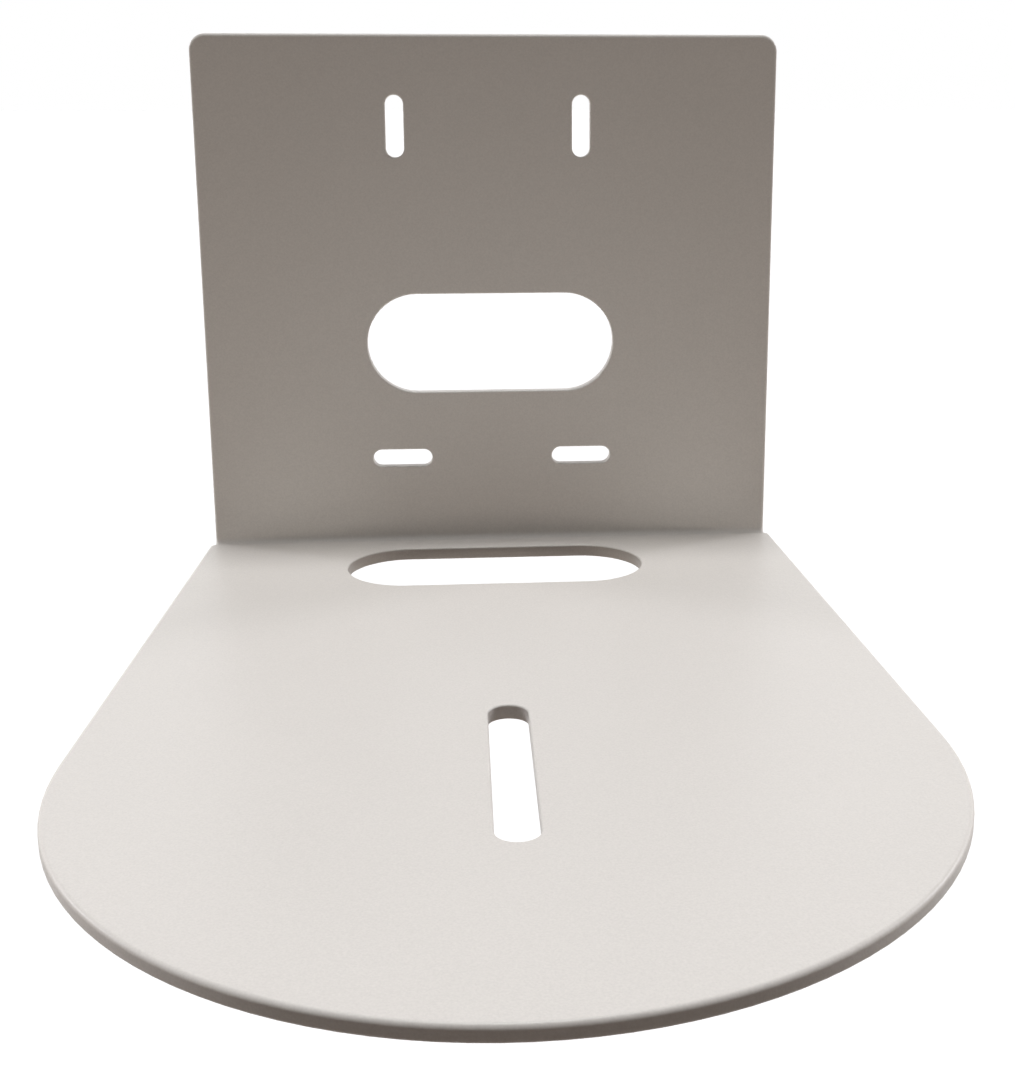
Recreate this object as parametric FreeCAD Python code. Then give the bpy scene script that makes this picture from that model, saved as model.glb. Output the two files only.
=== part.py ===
"""One-piece wall shelf bracket for a small pan-and-tilt camera.

A single blank of steel sheet is punched, bent once into an L and powder coated.
The upright plate screws to a wall or over a two-gang wall box.  The shelf reaches
out from the bend, widens a little and ends in a large round front.

Frame: X runs across the bracket, +Z is up, and the wall face is the plane Y = 0 with
the shelf reaching towards -Y.  The origin lies on the wall face, on the plane of
symmetry, midway between the two lower wall slots.  All sizes are millimetres.
"""
import FreeCAD
import Part
import math
import os

# Sheet and bend
SHEET_THICKNESS = 3.0
BEND_INNER_RADIUS = 1.4
OUTER_EDGE_ROUND = 0.85      # rounding of the blank's outer edge, after deburring and coating
HOLE_EDGE_ROUND = 0.4        # rounding of the edges of the punched holes

# Wall slots: the upper pair is upright, the lower pair lies flat
WALL_SLOT_SPACING = 46.0
WALL_SLOT_ROW_RISE = 83.8
WALL_SLOT_WIDTH = 4.5
WALL_SLOT_LENGTH = 15.1

# Upright wall plate
PLATE_WIDTH = 143.3
PLATE_ABOVE_SLOTS = 22.0     # from the upper slots up to the plate's top edge
PLATE_BELOW_SLOTS = 21.9     # from the lower slots down to the shelf's top face
PLATE_CORNER_RADIUS = 4.0

# Cable hole through the plate, its height measured from the lower slots
PLATE_CABLE_HOLE_HEIGHT = 29.8
PLATE_CABLE_HOLE_WIDTH = 62.4
PLATE_CABLE_HOLE_RISE = 25.2

# Shelf, distances measured out from the plate's front face
SHELF_SHOULDER = 1.3         # how far each side of the shelf steps out past the plate
SHELF_FRONT_RADIUS = 80.0
SHELF_FRONT_CENTRE = 136.4

# Holes through the shelf
SHELF_CABLE_HOLE_OUT = 22.95
SHELF_CABLE_HOLE_WIDTH = 72.4
SHELF_CABLE_HOLE_DEPTH = 29.3
CAMERA_SLOT_PAST_CENTRE = 3.1    # how far the slot's middle lies beyond the front's centre
CAMERA_SLOT_WIDTH = 7.7
CAMERA_SLOT_LENGTH = 55.2

# Cutting tools run this far past the faces that they cut
CUT_MARGIN = 5.0

# Places worked out from the sizes above
PLATE_FRONT_Y = -SHEET_THICKNESS
PLATE_TOP_Z = WALL_SLOT_ROW_RISE + PLATE_ABOVE_SLOTS
SHELF_TOP_Z = -PLATE_BELOW_SLOTS
SHELF_BOTTOM_Z = SHELF_TOP_Z - SHEET_THICKNESS
BEND_OUTER_RADIUS = BEND_INNER_RADIUS + SHEET_THICKNESS
FRONT_CENTRE_Y = PLATE_FRONT_Y - SHELF_FRONT_CENTRE
SHELF_TIP_Y = FRONT_CENTRE_Y - SHELF_FRONT_RADIUS
CAMERA_SLOT_Y = FRONT_CENTRE_Y - CAMERA_SLOT_PAST_CENTRE

ACROSS = FreeCAD.Vector(1, 0, 0)
TO_WALL = FreeCAD.Vector(0, 1, 0)
UP = FreeCAD.Vector(0, 0, 1)


def side_profile():
    """The L-shaped section of the bent sheet, in the plane X = 0."""
    def point(y, z):
        return FreeCAD.Vector(0, y, z)

    bend_y = PLATE_FRONT_Y - BEND_INNER_RADIUS
    bend_z = SHELF_TOP_Z + BEND_INNER_RADIUS
    diagonal = math.sqrt(0.5)

    def bend_arc(radius, start, end):
        middle = point(bend_y + radius * diagonal, bend_z - radius * diagonal)
        return Part.Arc(start, middle, end).toShape()

    wall_top = point(0, PLATE_TOP_Z)
    wall_bend = point(0, bend_z)
    under_bend = point(bend_y, SHELF_BOTTOM_Z)
    under_tip = point(SHELF_TIP_Y, SHELF_BOTTOM_Z)
    shelf_tip = point(SHELF_TIP_Y, SHELF_TOP_Z)
    shelf_bend = point(bend_y, SHELF_TOP_Z)
    plate_bend = point(PLATE_FRONT_Y, bend_z)
    plate_top = point(PLATE_FRONT_Y, PLATE_TOP_Z)
    return Part.Wire([
        Part.makeLine(wall_top, wall_bend),
        bend_arc(BEND_OUTER_RADIUS, wall_bend, under_bend),
        Part.makeLine(under_bend, under_tip),
        Part.makeLine(under_tip, shelf_tip),
        Part.makeLine(shelf_tip, shelf_bend),
        bend_arc(BEND_INNER_RADIUS, shelf_bend, plate_bend),
        Part.makeLine(plate_bend, plate_top),
        Part.makeLine(plate_top, wall_top),
    ])


def plan_outline():
    """The outline of the bracket seen from above, as a wire in the plane Z = 0.

    Each side follows the plate, steps out smoothly inside the bend and then runs
    straight to where it touches the round front.
    """
    def point(x, y):
        return FreeCAD.Vector(x, y, 0)

    half_plate = PLATE_WIDTH / 2
    half_shelf = half_plate + SHELF_SHOULDER
    bend_end_y = PLATE_FRONT_Y - BEND_INNER_RADIUS

    run = bend_end_y - FRONT_CENTRE_Y
    to_centre = math.hypot(half_shelf, run)
    touch_angle = math.atan2(run, half_shelf) - math.acos(SHELF_FRONT_RADIUS / to_centre)
    touch_x = SHELF_FRONT_RADIUS * math.cos(touch_angle)
    touch_y = FRONT_CENTRE_Y + SHELF_FRONT_RADIUS * math.sin(touch_angle)

    # The step's end points along the straight side, so the two join smoothly.
    step_handle = BEND_INNER_RADIUS / 2
    flare = (touch_x - half_shelf) / (bend_end_y - touch_y)

    def side_edges(side):
        step = Part.BezierCurve()
        step.setPoles([
            point(side * half_plate, PLATE_FRONT_Y),
            point(side * half_plate, PLATE_FRONT_Y - step_handle),
            point(side * (half_shelf - flare * step_handle), bend_end_y + step_handle),
            point(side * half_shelf, bend_end_y),
        ])
        behind_wall = point(side * half_plate, CUT_MARGIN)
        return [
            Part.makeLine(behind_wall, point(side * half_plate, PLATE_FRONT_Y)),
            step.toShape(),
            Part.makeLine(point(side * half_shelf, bend_end_y), point(side * touch_x, touch_y)),
        ]

    front = Part.Arc(point(touch_x, touch_y), point(0, SHELF_TIP_Y), point(-touch_x, touch_y))
    back = Part.makeLine(point(-half_plate, CUT_MARGIN), point(half_plate, CUT_MARGIN))
    edges = side_edges(1) + [front.toShape()] + side_edges(-1) + [back]
    return Part.Wire(Part.__sortEdges__(edges))


def bent_blank():
    """The bent sheet with its outer outline, before any hole is punched."""
    half_span = PLATE_WIDTH / 2 + SHELF_FRONT_RADIUS + CUT_MARGIN
    section = Part.Face(side_profile())
    section.translate(-half_span * ACROSS)
    strip = section.extrude(2 * half_span * ACROSS)

    outline = Part.Face(plan_outline())
    outline.translate((SHELF_BOTTOM_Z - CUT_MARGIN) * UP)
    column = outline.extrude((PLATE_TOP_Z - SHELF_BOTTOM_Z + 2 * CUT_MARGIN) * UP)
    blank = strip.common(column).Solids[0]

    top_corners = [
        edge for edge in blank.Edges
        if edge.BoundBox.ZMin > PLATE_TOP_Z - SHEET_THICKNESS / 2
        and edge.BoundBox.XLength < SHEET_THICKNESS / 2
    ]
    return blank.makeFillet(PLATE_CORNER_RADIUS, top_corners)


def obround(length, width, long_axis, through_axis):
    """A cutter with round ends, centred on the origin and reaching well past the sheet."""
    radius = width / 2
    half_run = (length - width) / 2
    reach = SHEET_THICKNESS + CUT_MARGIN
    short_axis = through_axis.cross(long_axis)
    start = -half_run * long_axis - reach * through_axis
    end = half_run * long_axis - reach * through_axis
    outline = Part.Wire([
        Part.makeLine(start - radius * short_axis, end - radius * short_axis),
        Part.Arc(end - radius * short_axis, end + radius * long_axis,
                 end + radius * short_axis).toShape(),
        Part.makeLine(end + radius * short_axis, start + radius * short_axis),
        Part.Arc(start + radius * short_axis, start - radius * long_axis,
                 start - radius * short_axis).toShape(),
    ])
    return Part.Face(outline).extrude(2 * reach * through_axis)


def wall_slot_cutters():
    """Two upright slots above and two level ones below, on the wall box's screw pattern."""
    cutters = []
    for height, long_axis in ((WALL_SLOT_ROW_RISE, UP), (0, ACROSS)):
        for side in (-1, 1):
            cutter = obround(WALL_SLOT_LENGTH, WALL_SLOT_WIDTH, long_axis, TO_WALL)
            cutter.translate(side * WALL_SLOT_SPACING / 2 * ACROSS + height * UP)
            cutters.append(cutter)
    return cutters


def plate_cable_hole_cutter():
    """The large hole that lets the cable through from the wall box."""
    cutter = obround(PLATE_CABLE_HOLE_WIDTH, PLATE_CABLE_HOLE_RISE, ACROSS, TO_WALL)
    cutter.translate(PLATE_CABLE_HOLE_HEIGHT * UP)
    return cutter


def shelf_cutters():
    """The cable hole beside the bend and the long slot for the camera's screw."""
    cable_hole = obround(SHELF_CABLE_HOLE_WIDTH, SHELF_CABLE_HOLE_DEPTH, ACROSS, UP)
    cable_hole.translate((PLATE_FRONT_Y - SHELF_CABLE_HOLE_OUT) * TO_WALL + SHELF_TOP_Z * UP)
    camera_slot = obround(CAMERA_SLOT_LENGTH, CAMERA_SLOT_WIDTH, TO_WALL, UP)
    camera_slot.translate(CAMERA_SLOT_Y * TO_WALL + SHELF_TOP_Z * UP)
    return [cable_hole, camera_slot]


def sharp_edges(solid):
    """Every edge where two faces meet at a corner rather than running on smoothly."""
    corner_angle = math.radians(30)
    found = []
    for edge in solid.Edges:
        middle = edge.valueAt((edge.FirstParameter + edge.LastParameter) / 2)
        normals = [
            face.normalAt(*face.Surface.parameter(middle))
            for face in solid.ancestorsOfType(edge, Part.Face)
        ]
        if len(normals) == 2 and normals[0].getAngle(normals[1]) > corner_angle:
            found.append(edge)
    return found


def wall_bracket():
    """The finished bracket: bent blank, punched holes and softened edges."""
    blank = bent_blank()
    softened = blank.makeFillet(OUTER_EDGE_ROUND, sharp_edges(blank))
    cutters = wall_slot_cutters() + [plate_cable_hole_cutter()] + shelf_cutters()
    punched = softened.cut(cutters).Solids[0]
    return punched.makeFillet(HOLE_EDGE_ROUND, sharp_edges(punched))


PARTS = {"wall_bracket": wall_bracket}


def main():
    os.makedirs("parts", exist_ok=True)
    for name, make in PARTS.items():
        shape = make()
        shape.exportStep(f"parts/{name}.step")
        box = shape.BoundBox
        print(f"{name}: solids {len(shape.Solids)}, valid {shape.isValid()}, "
              f"volume {shape.Volume:.0f} mm3, "
              f"size {box.XLength:.1f} x {box.YLength:.1f} x {box.ZLength:.1f} mm")


main()
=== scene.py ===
"""Finish, studio and camera for a powder-coated wall shelf bracket that holds a small camera.

The bracket is one bent steel sheet.  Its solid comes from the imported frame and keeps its
shape here: this file paints it, and builds the floor, the lamps, the sky and the camera.
Everything is in metres in the bracket's own frame: X runs across it, the wall is the plane
Y = 0 with the shelf towards -Y, and +Z is up.
"""
import math

import bpy
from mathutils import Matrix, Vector


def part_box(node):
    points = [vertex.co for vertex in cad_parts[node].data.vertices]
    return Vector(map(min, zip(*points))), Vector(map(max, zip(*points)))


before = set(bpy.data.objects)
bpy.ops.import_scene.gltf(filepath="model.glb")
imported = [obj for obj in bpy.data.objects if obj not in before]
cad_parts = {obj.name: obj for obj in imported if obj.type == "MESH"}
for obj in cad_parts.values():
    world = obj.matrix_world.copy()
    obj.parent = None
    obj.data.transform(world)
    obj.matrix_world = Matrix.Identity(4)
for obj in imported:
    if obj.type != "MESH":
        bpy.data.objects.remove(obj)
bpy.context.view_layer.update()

bl_info = {
    "name": "Wall Shelf Bracket Studio",
    "version": (1, 0, 0),
    "blender": (4, 5, 0),
    "location": "3D View > Sidebar > Bracket",
    "description": "Powder-coats a bent sheet wall bracket and sets up its studio and camera",
    "category": "Object",
}

BRACKET = "wall_bracket"
MM = 0.001
CURED_POWDER_IOR = 1.5
CAMERA_FRAME_WIDTH = 36      # millimetres, which the focal length goes with
CAMERA_NEAR_LIMIT = 0.01
SUN_RISE = 1.0               # a sun's symbol floats this far above the plate's top edge


def lowest_and_highest():
    """The heights of the shelf's underside and of the plate's top edge."""
    low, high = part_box(BRACKET)
    return low[2], high[2]


# ---------------------------------------------------------------- settings

class CoatSettings(bpy.types.PropertyGroup):
    """The powder coat on the sheet."""

    colour: bpy.props.FloatVectorProperty(
        name="Colour", description="Warm off-white of the coat, as linear light",
        subtype="COLOR", size=3, min=0.0, max=1.0, default=(0.83, 0.797, 0.755))
    roughness: bpy.props.FloatProperty(
        name="Roughness", description="Satin sheen of the cured powder",
        min=0.0, max=1.0, default=0.40)
    gloss: bpy.props.FloatProperty(
        name="Gloss", description="Strength of the coat's reflections; 0.5 is what its IOR gives",
        min=0.0, max=1.0, default=0.3)
    peel_size: bpy.props.FloatProperty(
        name="Orange peel size", description="Distance from one ripple of the coat to the next",
        subtype="DISTANCE", unit="LENGTH", min=0.0002, max=0.01, default=1.6 * MM)
    peel_height: bpy.props.FloatProperty(
        name="Orange peel height", description="Depth of the ripples",
        subtype="DISTANCE", unit="LENGTH", min=0.0, max=0.0005, default=0.03 * MM)
    grain_size: bpy.props.FloatProperty(
        name="Grain size", description="Size of the fine powder grain",
        subtype="DISTANCE", unit="LENGTH", min=0.00005, max=0.002, default=0.4 * MM)
    tone_size: bpy.props.FloatProperty(
        name="Tone patch size", description="Size of the soft patches where the tone drifts",
        subtype="DISTANCE", unit="LENGTH", min=0.005, max=0.2, default=38 * MM)
    tone_drift: bpy.props.FloatProperty(
        name="Tone drift", description="How far the tone of the coat drifts over the sheet",
        subtype="FACTOR", min=0.0, max=0.3, default=0.035)
    speckle: bpy.props.FloatProperty(
        name="Speckle", description="How far the tone varies from one powder grain to the next",
        subtype="FACTOR", min=0.0, max=1.0, default=0.2)


class StudioSettings(bpy.types.PropertyGroup):
    """The floor, lamps and sky."""

    floor_drop: bpy.props.FloatProperty(
        name="Floor drop", description="Height of the bracket's underside above the floor",
        subtype="DISTANCE", unit="LENGTH", min=0.0, max=2.0, default=0.24)
    floor_size: bpy.props.FloatProperty(
        name="Floor size", description="Length of each side of the floor",
        subtype="DISTANCE", unit="LENGTH", min=1.0, max=100.0, default=30.0)
    floor_colour: bpy.props.FloatVectorProperty(
        name="Floor colour", description="Pale colour of the floor",
        subtype="COLOR", size=3, min=0.0, max=1.0, default=(0.6, 0.6, 0.6))
    floor_glow: bpy.props.FloatProperty(
        name="Floor glow", description="White that the floor shows on its own, lighting nothing",
        min=0.0, max=1.0, default=0.55)
    bounce_colour: bpy.props.FloatVectorProperty(
        name="Bounce colour", description="Colour of the light that the floor sends back up",
        subtype="COLOR", size=3, min=0.0, max=1.0, default=(0.18, 0.142, 0.118))
    key_strength: bpy.props.FloatProperty(
        name="Key strength", description="Strength of the overhead lamp",
        min=0.0, max=20.0, default=1.76)
    key_softness: bpy.props.FloatProperty(
        name="Key softness", description="Angle that the overhead lamp fills, seen from the shelf",
        subtype="ANGLE", unit="ROTATION", min=0.0, max=math.pi, default=math.radians(15.5))
    key_lean: bpy.props.FloatProperty(
        name="Key lean", description="How far the overhead lamp stands behind the plate",
        subtype="ANGLE", unit="ROTATION", min=-1.5, max=1.5, default=math.radians(3.7))
    rim_strength: bpy.props.FloatProperty(
        name="Rim strength", description="Strength of each of the two lamps at the rear corners",
        min=0.0, max=20.0, default=0.74)
    rim_colour: bpy.props.FloatVectorProperty(
        name="Rim colour", description="Colour of the two rear corner lamps",
        subtype="COLOR", size=3, min=0.0, max=1.0, default=(0.96, 0.95, 1.0))
    rim_softness: bpy.props.FloatProperty(
        name="Rim softness", description="Angle that each rear corner lamp fills",
        subtype="ANGLE", unit="ROTATION", min=0.0, max=math.pi, default=math.radians(10))
    rim_height: bpy.props.FloatProperty(
        name="Rim height", description="How high the rear corner lamps stand above the horizon",
        subtype="ANGLE", unit="ROTATION", min=0.0, max=1.5, default=math.radians(20))
    rim_swing: bpy.props.FloatProperty(
        name="Rim swing",
        description="How far each rear corner lamp stands to its side, from behind",
        subtype="ANGLE", unit="ROTATION", min=0.0, max=math.pi, default=math.radians(64))
    side_power: bpy.props.FloatProperty(
        name="Side power", description="Power in watts of each of the two low side lamps",
        min=0.0, max=10.0, default=0.165)
    side_colour: bpy.props.FloatVectorProperty(
        name="Side colour", description="Colour of the two low side lamps",
        subtype="COLOR", size=3, min=0.0, max=1.0, default=(1.0, 0.93, 0.86))
    side_place: bpy.props.FloatVectorProperty(
        name="Side place", description="Where the right side lamp stands; the left one mirrors it",
        subtype="TRANSLATION", unit="LENGTH", size=3, default=(320 * MM, -105 * MM, -39 * MM))
    side_length: bpy.props.FloatProperty(
        name="Side length", description="Length of the strip-shaped side lamps",
        subtype="DISTANCE", unit="LENGTH", min=0.01, max=2.0, default=150 * MM)
    side_width: bpy.props.FloatProperty(
        name="Side width", description="Height of the strip-shaped side lamps",
        subtype="DISTANCE", unit="LENGTH", min=0.001, max=2.0, default=22 * MM)
    sky_top: bpy.props.FloatVectorProperty(
        name="Sky overhead", description="Soft light from straight above",
        subtype="COLOR", size=3, min=0.0, max=4.0, default=(0.38, 0.38, 0.39))
    sky_front: bpy.props.FloatVectorProperty(
        name="Sky in front", description="Dim light from the front of the room",
        subtype="COLOR", size=3, min=0.0, max=4.0, default=(0.016, 0.012, 0.010))
    sky_back: bpy.props.FloatVectorProperty(
        name="Sky behind", description="Soft light from the back of the room",
        subtype="COLOR", size=3, min=0.0, max=4.0, default=(0.34, 0.33, 0.33))


class CameraSettings(bpy.types.PropertyGroup):
    """Where the camera stands and how it looks at the bracket."""

    place: bpy.props.FloatVectorProperty(
        name="Place", description="Where the camera stands",
        subtype="TRANSLATION", unit="LENGTH", size=3,
        default=(-8.1 * MM, -396.84 * MM, 96.8 * MM))
    turn: bpy.props.FloatVectorProperty(
        name="Turn", description="Tilt, roll and swing of the camera",
        subtype="EULER", unit="ROTATION", size=3,
        default=(math.radians(76.39), math.radians(-0.08), math.radians(-4.64)))
    focal_length: bpy.props.FloatProperty(
        name="Focal length", description="Focal length in millimetres on a 36 mm frame",
        min=1.0, max=500.0, default=52.1)
    shift: bpy.props.FloatVectorProperty(
        name="Shift", description="Sideways and upward shift of the lens, in frame sizes",
        size=2, default=(-0.0715, -0.0828))


# ---------------------------------------------------------------- node helpers

def add_node(tree, kind, place=(0, 0), **values):
    """Adds a node and sets its properties, or its inputs where the name is a socket's."""
    node = tree.nodes.new(kind)
    node.location = place
    for name, value in values.items():
        socket = node.inputs.get(name.replace("_", " "))
        if hasattr(node, name):
            setattr(node, name, value)
        elif socket is not None:
            socket.default_value = value
        else:
            raise KeyError(f"{kind} has no property or input {name}")
    return node


def new_group(name, inputs, outputs):
    """A shader node group with named sockets, and its input and output nodes."""
    group = bpy.data.node_groups.new(name, "ShaderNodeTree")
    for socket, kind, default in inputs:
        made = group.interface.new_socket(socket, in_out="INPUT", socket_type=kind)
        made.default_value = default
    for socket, kind in outputs:
        group.interface.new_socket(socket, in_out="OUTPUT", socket_type=kind)
    start = add_node(group, "NodeGroupInput", (-900, 0))
    end = add_node(group, "NodeGroupOutput", (700, 0))
    return group, start, end


# ---------------------------------------------------------------- powder coat

def orange_peel_group():
    """Ripples of a sprayed and baked coat, with the fine powder grain on top of them."""
    group, start, end = new_group(
        "Orange Peel",
        [("Position", "NodeSocketVector", (0, 0, 0)),
         ("Ripples per Metre", "NodeSocketFloat", 600.0),
         ("Grains per Metre", "NodeSocketFloat", 2000.0),
         ("Grain Share", "NodeSocketFloat", 0.45)],
        [("Height", "NodeSocketFloat")])
    link = group.links.new

    ripples = add_node(group, "ShaderNodeTexNoise", (-600, 160), Detail=1.5, Roughness=0.45)
    grain = add_node(group, "ShaderNodeTexNoise", (-600, -160), Detail=1.0)
    soften = add_node(group, "ShaderNodeMapRange", (-350, 160),
                      interpolation_type="SMOOTHSTEP", From_Min=0.3, From_Max=0.7)
    blend = add_node(group, "ShaderNodeMix", (100, 0), data_type="FLOAT")
    link(start.outputs["Position"], ripples.inputs["Vector"])
    link(start.outputs["Position"], grain.inputs["Vector"])
    link(start.outputs["Ripples per Metre"], ripples.inputs["Scale"])
    link(start.outputs["Grains per Metre"], grain.inputs["Scale"])
    link(ripples.outputs["Fac"], soften.inputs["Value"])
    link(start.outputs["Grain Share"], blend.inputs["Factor"])
    link(soften.outputs["Result"], blend.inputs["A"])
    link(grain.outputs["Fac"], blend.inputs["B"])
    link(blend.outputs["Result"], end.inputs["Height"])
    return group


def coat_tone_group():
    """Soft drift of the coat's tone and sheen over the sheet, and its fine powder speckle."""
    group, start, end = new_group(
        "Coat Tone",
        [("Position", "NodeSocketVector", (0, 0, 0)),
         ("Colour", "NodeSocketColor", (0.8, 0.8, 0.8, 1)),
         ("Patches per Metre", "NodeSocketFloat", 25.0),
         ("Drift", "NodeSocketFloat", 0.03),
         ("Grains per Metre", "NodeSocketFloat", 2000.0),
         ("Speckle", "NodeSocketFloat", 0.1),
         ("Roughness", "NodeSocketFloat", 0.5)],
        [("Colour", "NodeSocketColor"), ("Roughness", "NodeSocketFloat")])
    link = group.links.new

    def spread(pattern, amount, height):
        """A noise pattern, centred on zero and scaled to an amount."""
        centre = add_node(group, "ShaderNodeMath", (-450, height), operation="SUBTRACT")
        centre.inputs[1].default_value = 0.5
        scaled = add_node(group, "ShaderNodeMath", (-270, height), operation="MULTIPLY")
        link(pattern, centre.inputs[0])
        link(centre.outputs[0], scaled.inputs[0])
        link(amount, scaled.inputs[1])
        return scaled.outputs[0]

    patches = add_node(group, "ShaderNodeTexNoise", (-650, 200), Detail=3.0, Roughness=0.55)
    grains = add_node(group, "ShaderNodeTexNoise", (-650, -100), Detail=2.0, Roughness=0.6)
    link(start.outputs["Position"], patches.inputs["Vector"])
    link(start.outputs["Patches per Metre"], patches.inputs["Scale"])
    link(start.outputs["Position"], grains.inputs["Vector"])
    link(start.outputs["Grains per Metre"], grains.inputs["Scale"])
    drift = spread(patches.outputs["Fac"], start.outputs["Drift"], 200)
    speckle = spread(grains.outputs["Fac"], start.outputs["Speckle"], -100)
    both = add_node(group, "ShaderNodeMath", (-90, 100), operation="ADD")
    gain = add_node(group, "ShaderNodeMath", (90, 100), operation="ADD")
    gain.inputs[1].default_value = 1.0
    tinted = add_node(group, "ShaderNodeVectorMath", (280, 200), operation="SCALE")
    sheen = add_node(group, "ShaderNodeMath", (280, -100), operation="ADD")
    link(drift, both.inputs[0])
    link(speckle, both.inputs[1])
    link(both.outputs[0], gain.inputs[0])
    link(start.outputs["Colour"], tinted.inputs[0])
    link(gain.outputs[0], tinted.inputs["Scale"])
    link(tinted.outputs[0], end.inputs["Colour"])
    link(start.outputs["Roughness"], sheen.inputs[0])
    link(drift, sheen.inputs[1])
    link(sheen.outputs[0], end.inputs["Roughness"])
    return group


def powder_coat_material(coat):
    """The painted surface: drifting, speckled tone and orange peel under a satin sheen."""
    material = bpy.data.materials.new("powder_coat")
    material.use_nodes = True
    tree = material.node_tree
    tree.nodes.clear()
    link = tree.links.new

    place = add_node(tree, "ShaderNodeTexCoord", (-700, 0))
    tone = add_node(tree, "ShaderNodeGroup", (-420, 120), node_tree=coat_tone_group())
    tone.inputs["Colour"].default_value = (*coat.colour, 1)
    tone.inputs["Patches per Metre"].default_value = 1 / coat.tone_size
    tone.inputs["Drift"].default_value = coat.tone_drift
    tone.inputs["Grains per Metre"].default_value = 1 / coat.grain_size
    tone.inputs["Speckle"].default_value = coat.speckle
    tone.inputs["Roughness"].default_value = coat.roughness
    peel = add_node(tree, "ShaderNodeGroup", (-420, -260), node_tree=orange_peel_group())
    peel.inputs["Ripples per Metre"].default_value = 1 / coat.peel_size
    peel.inputs["Grains per Metre"].default_value = 1 / coat.grain_size
    bump = add_node(tree, "ShaderNodeBump", (-180, -260), Distance=coat.peel_height)
    surface = add_node(tree, "ShaderNodeBsdfPrincipled", (100, 100),
                       IOR=CURED_POWDER_IOR, Specular_IOR_Level=coat.gloss)
    out = add_node(tree, "ShaderNodeOutputMaterial", (400, 100))

    link(place.outputs["Object"], tone.inputs["Position"])
    link(place.outputs["Object"], peel.inputs["Position"])
    link(tone.outputs["Colour"], surface.inputs["Base Color"])
    link(tone.outputs["Roughness"], surface.inputs["Roughness"])
    link(peel.outputs["Height"], bump.inputs["Height"])
    link(bump.outputs["Normal"], surface.inputs["Normal"])
    link(surface.outputs["BSDF"], out.inputs["Surface"])
    return material


class BRACKET_OT_powder_coat(bpy.types.Operator):
    """Paints the bent sheet with a satin powder coat"""

    bl_idname = "bracket.powder_coat"
    bl_label = "Powder-coat the bracket"

    def execute(self, context):
        coat = context.scene.bracket_coat
        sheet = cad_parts[BRACKET]
        sheet.data.materials[0] = powder_coat_material(coat)
        return {"FINISHED"}


# ---------------------------------------------------------------- studio

def white_where_seen(tree, place):
    """1 for rays that show the background itself, directly, mirrored or through glass."""
    rays = add_node(tree, "ShaderNodeLightPath", place)
    mirrored = add_node(tree, "ShaderNodeMath", (place[0] + 200, place[1]), operation="MAXIMUM")
    through = add_node(tree, "ShaderNodeMath", (place[0] + 400, place[1]), operation="MAXIMUM")
    tree.links.new(rays.outputs["Is Camera Ray"], mirrored.inputs[0])
    tree.links.new(rays.outputs["Is Glossy Ray"], mirrored.inputs[1])
    tree.links.new(mirrored.outputs[0], through.inputs[0])
    tree.links.new(rays.outputs["Is Transmission Ray"], through.inputs[1])
    return through.outputs[0]


def floor_material(studio):
    """A pale matt floor that takes shadows and sends only a little light back up."""
    material = bpy.data.materials.new("studio_floor")
    material.use_nodes = True
    tree = material.node_tree
    tree.nodes.clear()
    link = tree.links.new
    seen = white_where_seen(tree, (-900, 200))
    colour = add_node(tree, "ShaderNodeMix", (-250, 150), data_type="RGBA")
    colour.inputs["A"].default_value = (*studio.bounce_colour, 1)
    colour.inputs["B"].default_value = (*studio.floor_colour, 1)
    matt = add_node(tree, "ShaderNodeBsdfDiffuse", (0, 150))
    glow = add_node(tree, "ShaderNodeMath", (-250, -50), operation="MULTIPLY")
    glow.inputs[1].default_value = studio.floor_glow
    white = add_node(tree, "ShaderNodeEmission", (0, -50))
    both = add_node(tree, "ShaderNodeAddShader", (200, 100))
    out = add_node(tree, "ShaderNodeOutputMaterial", (400, 100))
    link(seen, colour.inputs["Factor"])
    link(seen, glow.inputs[0])
    link(colour.outputs["Result"], matt.inputs["Color"])
    link(glow.outputs[0], white.inputs["Strength"])
    link(matt.outputs["BSDF"], both.inputs[0])
    link(white.outputs["Emission"], both.inputs[1])
    link(both.outputs["Shader"], out.inputs["Surface"])
    return material


def build_floor(studio):
    """A square floor below the bracket, which hangs above it as it would on a wall."""
    underside, _ = lowest_and_highest()
    half = studio.floor_size / 2
    height = underside - studio.floor_drop
    mesh = bpy.data.meshes.new("studio_floor")
    corners = [(-half, -half, height), (half, -half, height),
               (half, half, height), (-half, half, height)]
    mesh.from_pydata(corners, [], [(0, 1, 2, 3)])
    mesh.materials.append(floor_material(studio))
    floor = bpy.data.objects.new("studio_floor", mesh)
    bpy.context.scene.collection.objects.link(floor)


def add_sun(name, strength, colour, softness, tilt, swing):
    """A soft, far lamp that shines down from straight above until it is tilted and swung."""
    lamp = bpy.data.lights.new(name, "SUN")
    lamp.energy = strength
    lamp.color = colour
    lamp.angle = softness
    holder = bpy.data.objects.new(name, lamp)
    holder.rotation_euler = (-tilt, 0, swing)
    _, top = lowest_and_highest()
    holder.location = (0, 0, top + SUN_RISE)
    bpy.context.scene.collection.objects.link(holder)


def add_side_lamp(name, studio, side):
    """A low strip lamp beside the shelf, just under its level and turned to the plate."""
    low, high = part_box(BRACKET)
    lamp = bpy.data.lights.new(name, "AREA")
    lamp.energy = studio.side_power
    lamp.color = studio.side_colour
    lamp.shape = "RECTANGLE"
    lamp.size = studio.side_length
    lamp.size_y = studio.side_width
    holder = bpy.data.objects.new(name, lamp)
    out, along, up = studio.side_place
    holder.location = (side * out, along, up)
    aim = Vector((0, high[1], (low[2] + high[2]) / 2)) - holder.location
    holder.rotation_euler = aim.to_track_quat("-Z", "Y").to_euler()
    holder.visible_camera = False
    holder.visible_glossy = False
    bpy.context.scene.collection.objects.link(holder)


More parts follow.
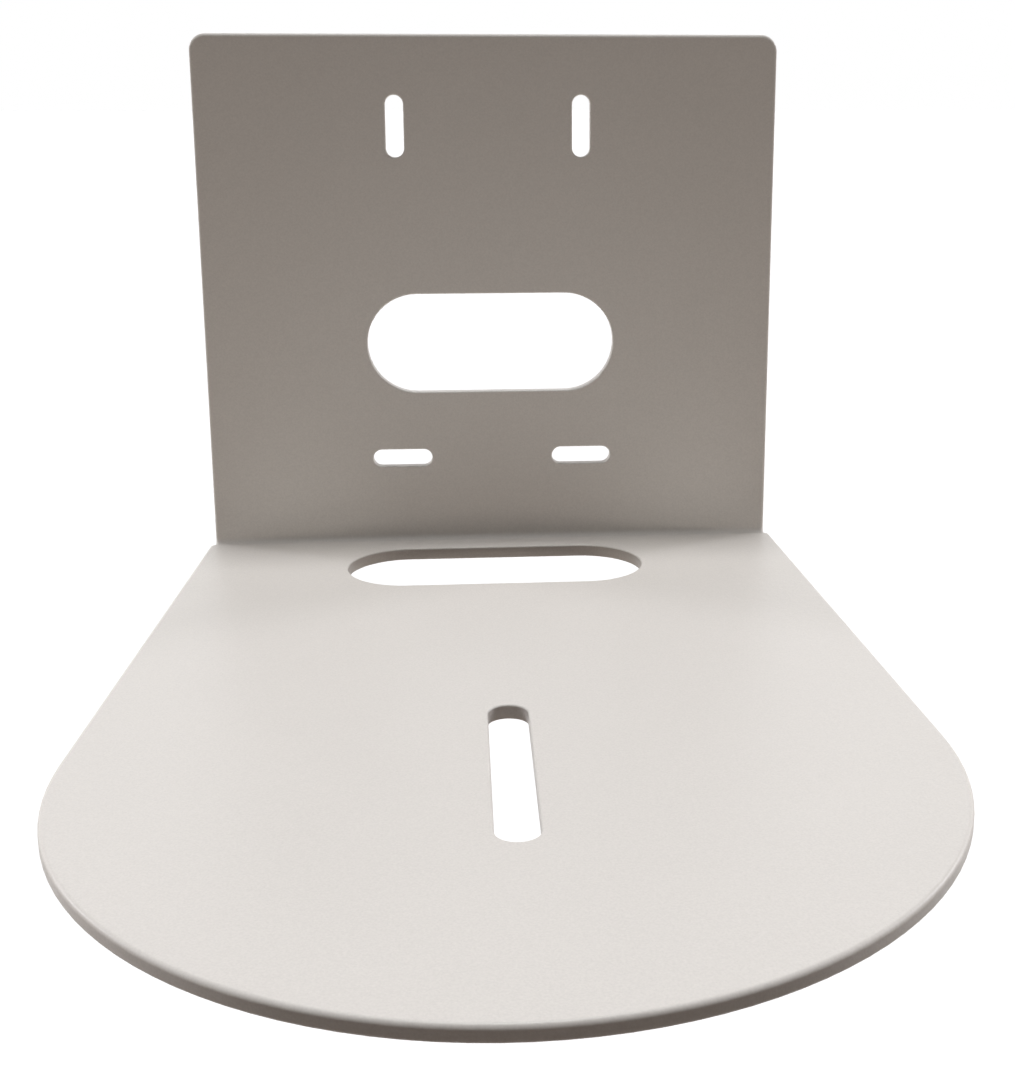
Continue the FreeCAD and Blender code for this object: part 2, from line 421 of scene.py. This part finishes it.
def build_lamps(studio):
    """One soft lamp overhead, one at each rear corner and a low one at each side."""
    add_sun("key_lamp", studio.key_strength, (1, 1, 1), studio.key_softness, studio.key_lean, 0)
    rim_tilt = math.pi / 2 - studio.rim_height
    for name, side in (("left_rim_lamp", 1), ("right_rim_lamp", -1)):
        add_sun(name, studio.rim_strength, studio.rim_colour, studio.rim_softness,
                rim_tilt, side * studio.rim_swing)
    add_side_lamp("left_side_lamp", studio, -1)
    add_side_lamp("right_side_lamp", studio, 1)


def build_sky(studio):
    """A sky that is dim in front and bright overhead, and plain white where it is seen."""
    world = bpy.data.worlds.new("studio_sky")
    world.use_nodes = True
    tree = world.node_tree
    tree.nodes.clear()
    link = tree.links.new
    toward = add_node(tree, "ShaderNodeTexCoord", (-1100, -100))
    axes = add_node(tree, "ShaderNodeSeparateXYZ", (-900, -100))
    # The dim front gives way to the back from just in front of the bracket's sides to well
    # behind them.  The overhead light starts about halfway up and is full at the zenith.
    depth = add_node(tree, "ShaderNodeMapRange", (-700, -250),
                     interpolation_type="SMOOTHSTEP", From_Min=-0.2, From_Max=0.7)
    rise = add_node(tree, "ShaderNodeMapRange", (-700, 0),
                    interpolation_type="SMOOTHSTEP", From_Min=0.72, From_Max=1.0)
    walls = add_node(tree, "ShaderNodeMix", (-450, -250), data_type="RGBA")
    walls.inputs["A"].default_value = (*studio.sky_front, 1)
    walls.inputs["B"].default_value = (*studio.sky_back, 1)
    glow = add_node(tree, "ShaderNodeMix", (-250, -100), data_type="RGBA")
    glow.inputs["B"].default_value = (*studio.sky_top, 1)
    seen = white_where_seen(tree, (-1100, 250))
    colour = add_node(tree, "ShaderNodeMix", (-50, 50), data_type="RGBA")
    colour.inputs["B"].default_value = (1, 1, 1, 1)
    sky = add_node(tree, "ShaderNodeBackground", (150, 50), Strength=1.0)
    out = add_node(tree, "ShaderNodeOutputWorld", (350, 50))
    link(toward.outputs["Generated"], axes.inputs["Vector"])
    link(axes.outputs["Y"], depth.inputs["Value"])
    link(axes.outputs["Z"], rise.inputs["Value"])
    link(depth.outputs["Result"], walls.inputs["Factor"])
    link(walls.outputs["Result"], glow.inputs["A"])
    link(rise.outputs["Result"], glow.inputs["Factor"])
    link(seen, colour.inputs["Factor"])
    link(glow.outputs["Result"], colour.inputs["A"])
    link(colour.outputs["Result"], sky.inputs["Color"])
    link(sky.outputs["Background"], out.inputs["Surface"])
    bpy.context.scene.world = world


class BRACKET_OT_build_studio(bpy.types.Operator):
    """Builds the pale floor, the lamps and the sky"""

    bl_idname = "bracket.build_studio"
    bl_label = "Build the studio"

    def execute(self, context):
        studio = context.scene.bracket_studio
        build_floor(studio)
        build_lamps(studio)
        build_sky(studio)
        context.scene.view_settings.view_transform = "Standard"
        return {"FINISHED"}


class BRACKET_OT_place_camera(bpy.types.Operator):
    """Stands the camera in front of the bracket, a little above the shelf"""

    bl_idname = "bracket.place_camera"
    bl_label = "Place the camera"

    def execute(self, context):
        settings = context.scene.bracket_camera
        lens = bpy.data.cameras.new("studio_camera")
        lens.sensor_width = CAMERA_FRAME_WIDTH
        lens.lens = settings.focal_length
        lens.shift_x, lens.shift_y = settings.shift
        lens.clip_start = CAMERA_NEAR_LIMIT
        camera = bpy.data.objects.new("studio_camera", lens)
        camera.location = settings.place
        camera.rotation_euler = settings.turn
        context.scene.collection.objects.link(camera)
        context.scene.camera = camera
        return {"FINISHED"}


# ---------------------------------------------------------------- panel and run

class VIEW3D_PT_bracket(bpy.types.Panel):
    """Settings and steps for the bracket, its studio and its camera"""

    bl_label = "Wall Shelf Bracket"
    bl_space_type = "VIEW_3D"
    bl_region_type = "UI"
    bl_category = "Bracket"

    def draw(self, context):
        steps = (("bracket_coat", BRACKET_OT_powder_coat),
                 ("bracket_studio", BRACKET_OT_build_studio),
                 ("bracket_camera", BRACKET_OT_place_camera))
        for settings_name, step in steps:
            box = self.layout.box()
            settings = getattr(context.scene, settings_name)
            for name in settings.__annotations__:
                box.prop(settings, name)
            box.operator(step.bl_idname)


SETTINGS = {"bracket_coat": CoatSettings,
            "bracket_studio": StudioSettings,
            "bracket_camera": CameraSettings}
CLASSES = (*SETTINGS.values(), BRACKET_OT_powder_coat, BRACKET_OT_build_studio,
           BRACKET_OT_place_camera, VIEW3D_PT_bracket)


def register():
    for made in CLASSES:
        bpy.utils.register_class(made)
    for name, kind in SETTINGS.items():
        setattr(bpy.types.Scene, name, bpy.props.PointerProperty(type=kind))


def unregister():
    for name in SETTINGS:
        delattr(bpy.types.Scene, name)
    for made in reversed(CLASSES):
        bpy.utils.unregister_class(made)


def main():
    register()
    bpy.ops.bracket.powder_coat()
    bpy.ops.bracket.build_studio()
    bpy.ops.bracket.place_camera()


if __name__ == "__main__":
    main()
